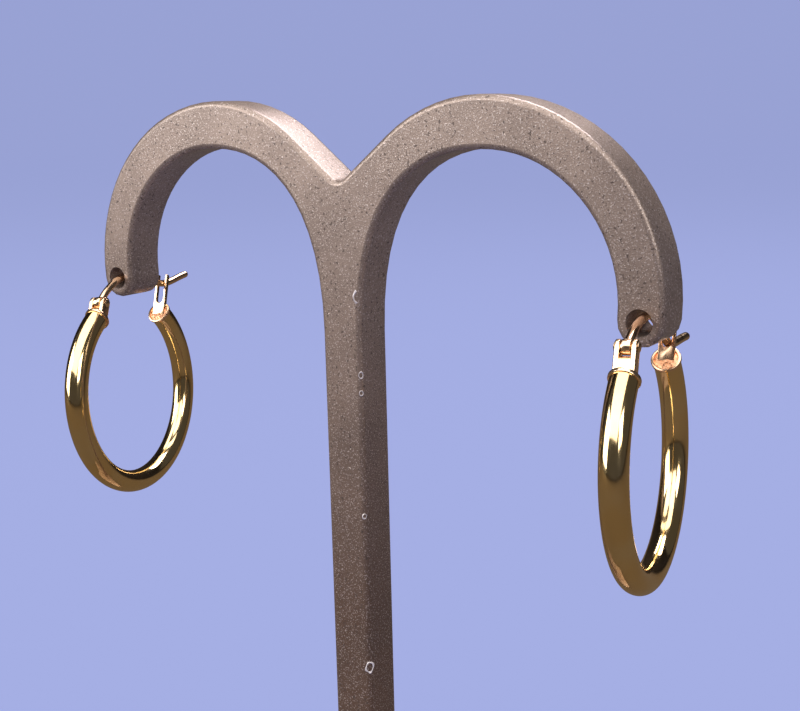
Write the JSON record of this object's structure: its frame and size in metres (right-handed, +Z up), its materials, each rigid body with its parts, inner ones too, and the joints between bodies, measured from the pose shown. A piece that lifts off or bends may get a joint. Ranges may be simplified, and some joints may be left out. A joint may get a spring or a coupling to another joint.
{
  "type": "hoop earrings on display stand",
  "caption": "Round gold hoop earrings with hinged ear wires, hanging through the arm tips of a bronze-painted display stand whose arms arch outwards from a slim stem.",
  "frame": {"origin": "middle of the base's underside", "axes": "+Z up, the arms reach out along X, the front faces -Y"},
  "size_m": [0.0726, 0.04, 0.112],
  "materials": {
    "satin_bronze_paint": "satin metallic bronze-brown paint over moulded plastic",
    "yellow_gold": "polished yellow gold",
    "rose_gold_wire": "polished rosy gold wire"
  },
  "bodies": {
    "root": {"stand": "satin_bronze_paint", "right_hoop": "yellow_gold", "left_hoop": "yellow_gold", "right_hinge_pin": "rose_gold_wire", "left_hinge_pin": "rose_gold_wire"},
    "right_wire": {"right_ear_wire": "rose_gold_wire"},
    "left_wire": {"left_ear_wire": "rose_gold_wire"}
  },
  "joints": [
    {"name": "right_wire_hinge", "type": "hinge", "parent": "root", "child": "right_wire", "pos_m": [0.03433, -0.00782, 0.09061], "axis": [0.9888, 0.1407, 0.0506], "range_deg": [0, 2]},
    {"name": "left_wire_hinge", "type": "hinge", "parent": "root", "child": "left_wire", "pos_m": [-0.03145, -0.00703, 0.08939], "axis": [0.9747, 0.2143, 0.0628], "range_deg": [0, 4]}
  ]
}
